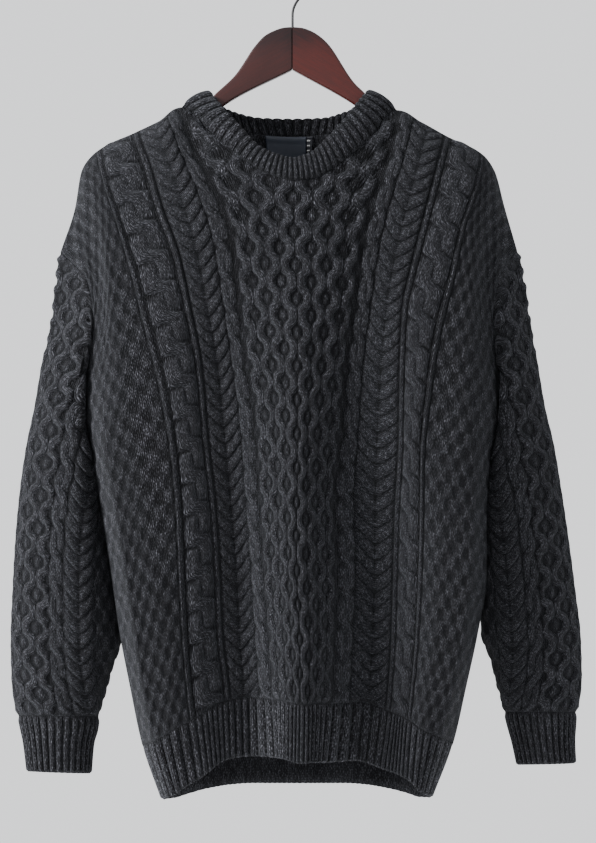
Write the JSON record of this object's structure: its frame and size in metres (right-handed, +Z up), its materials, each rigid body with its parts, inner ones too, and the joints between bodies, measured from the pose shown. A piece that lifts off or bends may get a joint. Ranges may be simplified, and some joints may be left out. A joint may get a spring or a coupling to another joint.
{
  "type": "crewneck sweater on a hanger",
  "caption": "Cable-knit crewneck sweater with dropped shoulders and ribbed neck, cuffs and hem, hanging from a flat wooden hanger with a wire hook.",
  "frame": {"origin": "where the inside of the hook bears on its rail, in the middle of the hanger's thickness", "axes": "+Z up, +X to the viewer's right across the front, -Y out of the sweater's front"},
  "size_m": [0.6176, 0.1762, 0.9],
  "materials": {
    "knit": "marled charcoal wool, matte with a soft nap",
    "label": "navy woven satin",
    "tag": "white woven tape",
    "wood": "dark reddish varnish, semi-gloss",
    "wire": "dark plated wire"
  },
  "bodies": {
    "root": {"front": "knit", "back": "knit", "hem_rib_front": "knit", "hem_rib_back": "knit", "sleeve_left": "knit", "sleeve_right": "knit", "cuff_left": "knit", "cuff_right": "knit", "neckband": "knit", "label": "label", "size_tag": "tag", "hanger_left": "wood", "hanger_right": "wood", "hanger_hook": "wire"}
  },
  "joints": []
}
